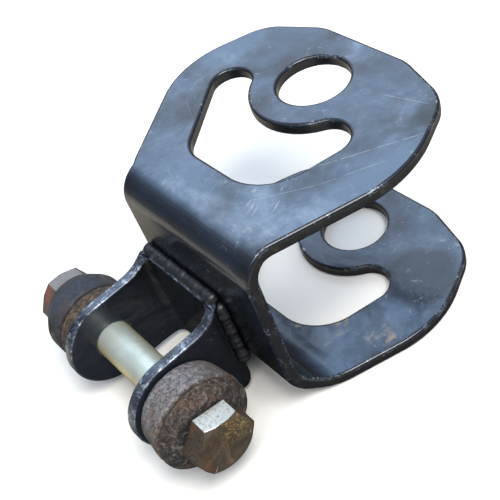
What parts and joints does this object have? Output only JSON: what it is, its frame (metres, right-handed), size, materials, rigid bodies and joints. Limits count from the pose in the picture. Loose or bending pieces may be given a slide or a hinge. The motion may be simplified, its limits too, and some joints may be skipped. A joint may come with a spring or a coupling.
{
  "type": "clamp bracket with pivot bolt",
  "caption": "Bent steel jaw bracket with windowed cheeks and a welded clevis carrying a long hex bolt with stepped collars.",
  "frame": {"origin": "on the lower cheek's outer face, on the strip of plate between the window and the round hole", "axes": "+X from the clevis to the jaw's mouth, +Y along the bolt from its head to its nut, +Z from the lower cheek to the upper cheek"},
  "size_m": [0.1612, 0.1252, 0.087],
  "materials": {
    "jaw_paint": "gloss black paint over steel plate, scratched and rubbed bright on its edges",
    "clevis_paint": "gloss black paint over steel strap, worn on its rims",
    "weld_paint": "black paint over rippled weld metal",
    "bolt_zinc": "zinc plated steel, dulled, with brown grime on the head",
    "nut_zinc": "dull zinc plated steel with patches of rust",
    "ring_steel": "bare grey steel with brown rust and caked dirt",
    "cone_steel": "dark oily steel with brown rust"
  },
  "bodies": {
    "frame": {"jaw_yoke": "jaw_paint", "clevis_strap": "clevis_paint", "weld_top": "weld_paint", "weld_near": "weld_paint", "weld_far": "weld_paint", "weld_low": "weld_paint"},
    "bolt": {"pivot_bolt": "bolt_zinc"},
    "nut": {"hex_nut": "nut_zinc"},
    "near_ring": {"near_ring": "ring_steel"},
    "near_cone": {"near_cone": "cone_steel"},
    "far_ring": {"far_ring": "ring_steel"},
    "far_cone": {"far_cone": "cone_steel"}
  },
  "joints": [
    {"name": "bolt_turn", "type": "hinge", "parent": "frame", "child": "bolt", "pos_m": [-0.09355, 0, 0.0242], "axis": [0, 1, 0], "continuous": true},
    {"name": "nut_turn", "type": "hinge", "parent": "bolt", "child": "nut", "pos_m": [-0.09355, 0.0566, 0.0242], "axis": [0, 1, 0], "continuous": true},
    {"name": "near_ring_turn", "type": "hinge", "parent": "bolt", "child": "near_ring", "pos_m": [-0.09355, -0.033, 0.0242], "axis": [0, 1, 0], "continuous": true},
    {"name": "near_cone_turn", "type": "hinge", "parent": "bolt", "child": "near_cone", "pos_m": [-0.09355, -0.043, 0.0242], "axis": [0, 1, 0], "continuous": true},
    {"name": "far_ring_turn", "type": "hinge", "parent": "bolt", "child": "far_ring", "pos_m": [-0.09355, 0.033, 0.0242], "axis": [0, 1, 0], "continuous": true},
    {"name": "far_cone_turn", "type": "hinge", "parent": "bolt", "child": "far_cone", "pos_m": [-0.09355, 0.046, 0.0242], "axis": [0, 1, 0], "continuous": true}
  ]
}
